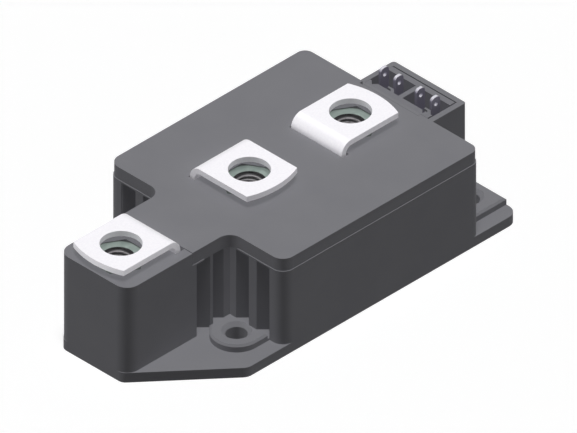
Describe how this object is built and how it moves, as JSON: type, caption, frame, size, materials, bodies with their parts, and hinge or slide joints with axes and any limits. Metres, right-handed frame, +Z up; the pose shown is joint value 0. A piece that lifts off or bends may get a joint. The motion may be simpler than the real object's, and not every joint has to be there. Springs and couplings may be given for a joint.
{
  "type": "power module",
  "caption": "Flat moulded power semiconductor module with a narrow nose, bent screw terminals over captive nuts, a small tab connector and a screw-down flange.",
  "frame": {"origin": "centre of the four mounting holes, in the bottom face of the base plate", "axes": "+X from the nose to the control connector, +Y to the side that the middle terminal bends down on, +Z up"},
  "size_m": [0.1165, 0.0604, 0.0316],
  "materials": {
    "moulding": "fine matt moulding, dark grey",
    "insert_plastic": "matt moulding, dark grey",
    "nickel_plate": "satin nickel plating",
    "zinc_steel": "zinc-plated steel",
    "tab_metal": "tinned brass",
    "base_metal": "nickel-plated copper",
    "copper": "bare copper",
    "ceramic": "white ceramic",
    "silicon": "polished silicon",
    "lead_sleeve": "white sleeve"
  },
  "bodies": {
    "root": {"housing_frame": "moulding", "lid": "moulding", "base_plate": "base_metal", "connector_insert": "insert_plastic", "control_tab_1": "tab_metal", "control_tab_2": "tab_metal", "control_tab_3": "tab_metal", "control_tab_4": "tab_metal", "terminal_front": "nickel_plate", "terminal_middle": "nickel_plate", "terminal_rear": "nickel_plate", "nut_front": "zinc_steel", "nut_middle": "zinc_steel", "nut_rear": "zinc_steel", "back_copper_front": "copper", "back_copper_rear": "copper", "ceramic_tile_front": "ceramic", "ceramic_tile_rear": "ceramic", "common_track": "copper", "cathode_track": "copper", "anode_track": "copper", "thyristor_chip_front": "silicon", "thyristor_chip_rear": "silicon", "cathode_clip_front": "copper", "cathode_clip_rear": "copper", "gate_lead_front": "lead_sleeve", "gate_lead_rear": "lead_sleeve", "sense_lead_front": "lead_sleeve", "sense_lead_rear": "lead_sleeve"}
  },
  "joints": []
}
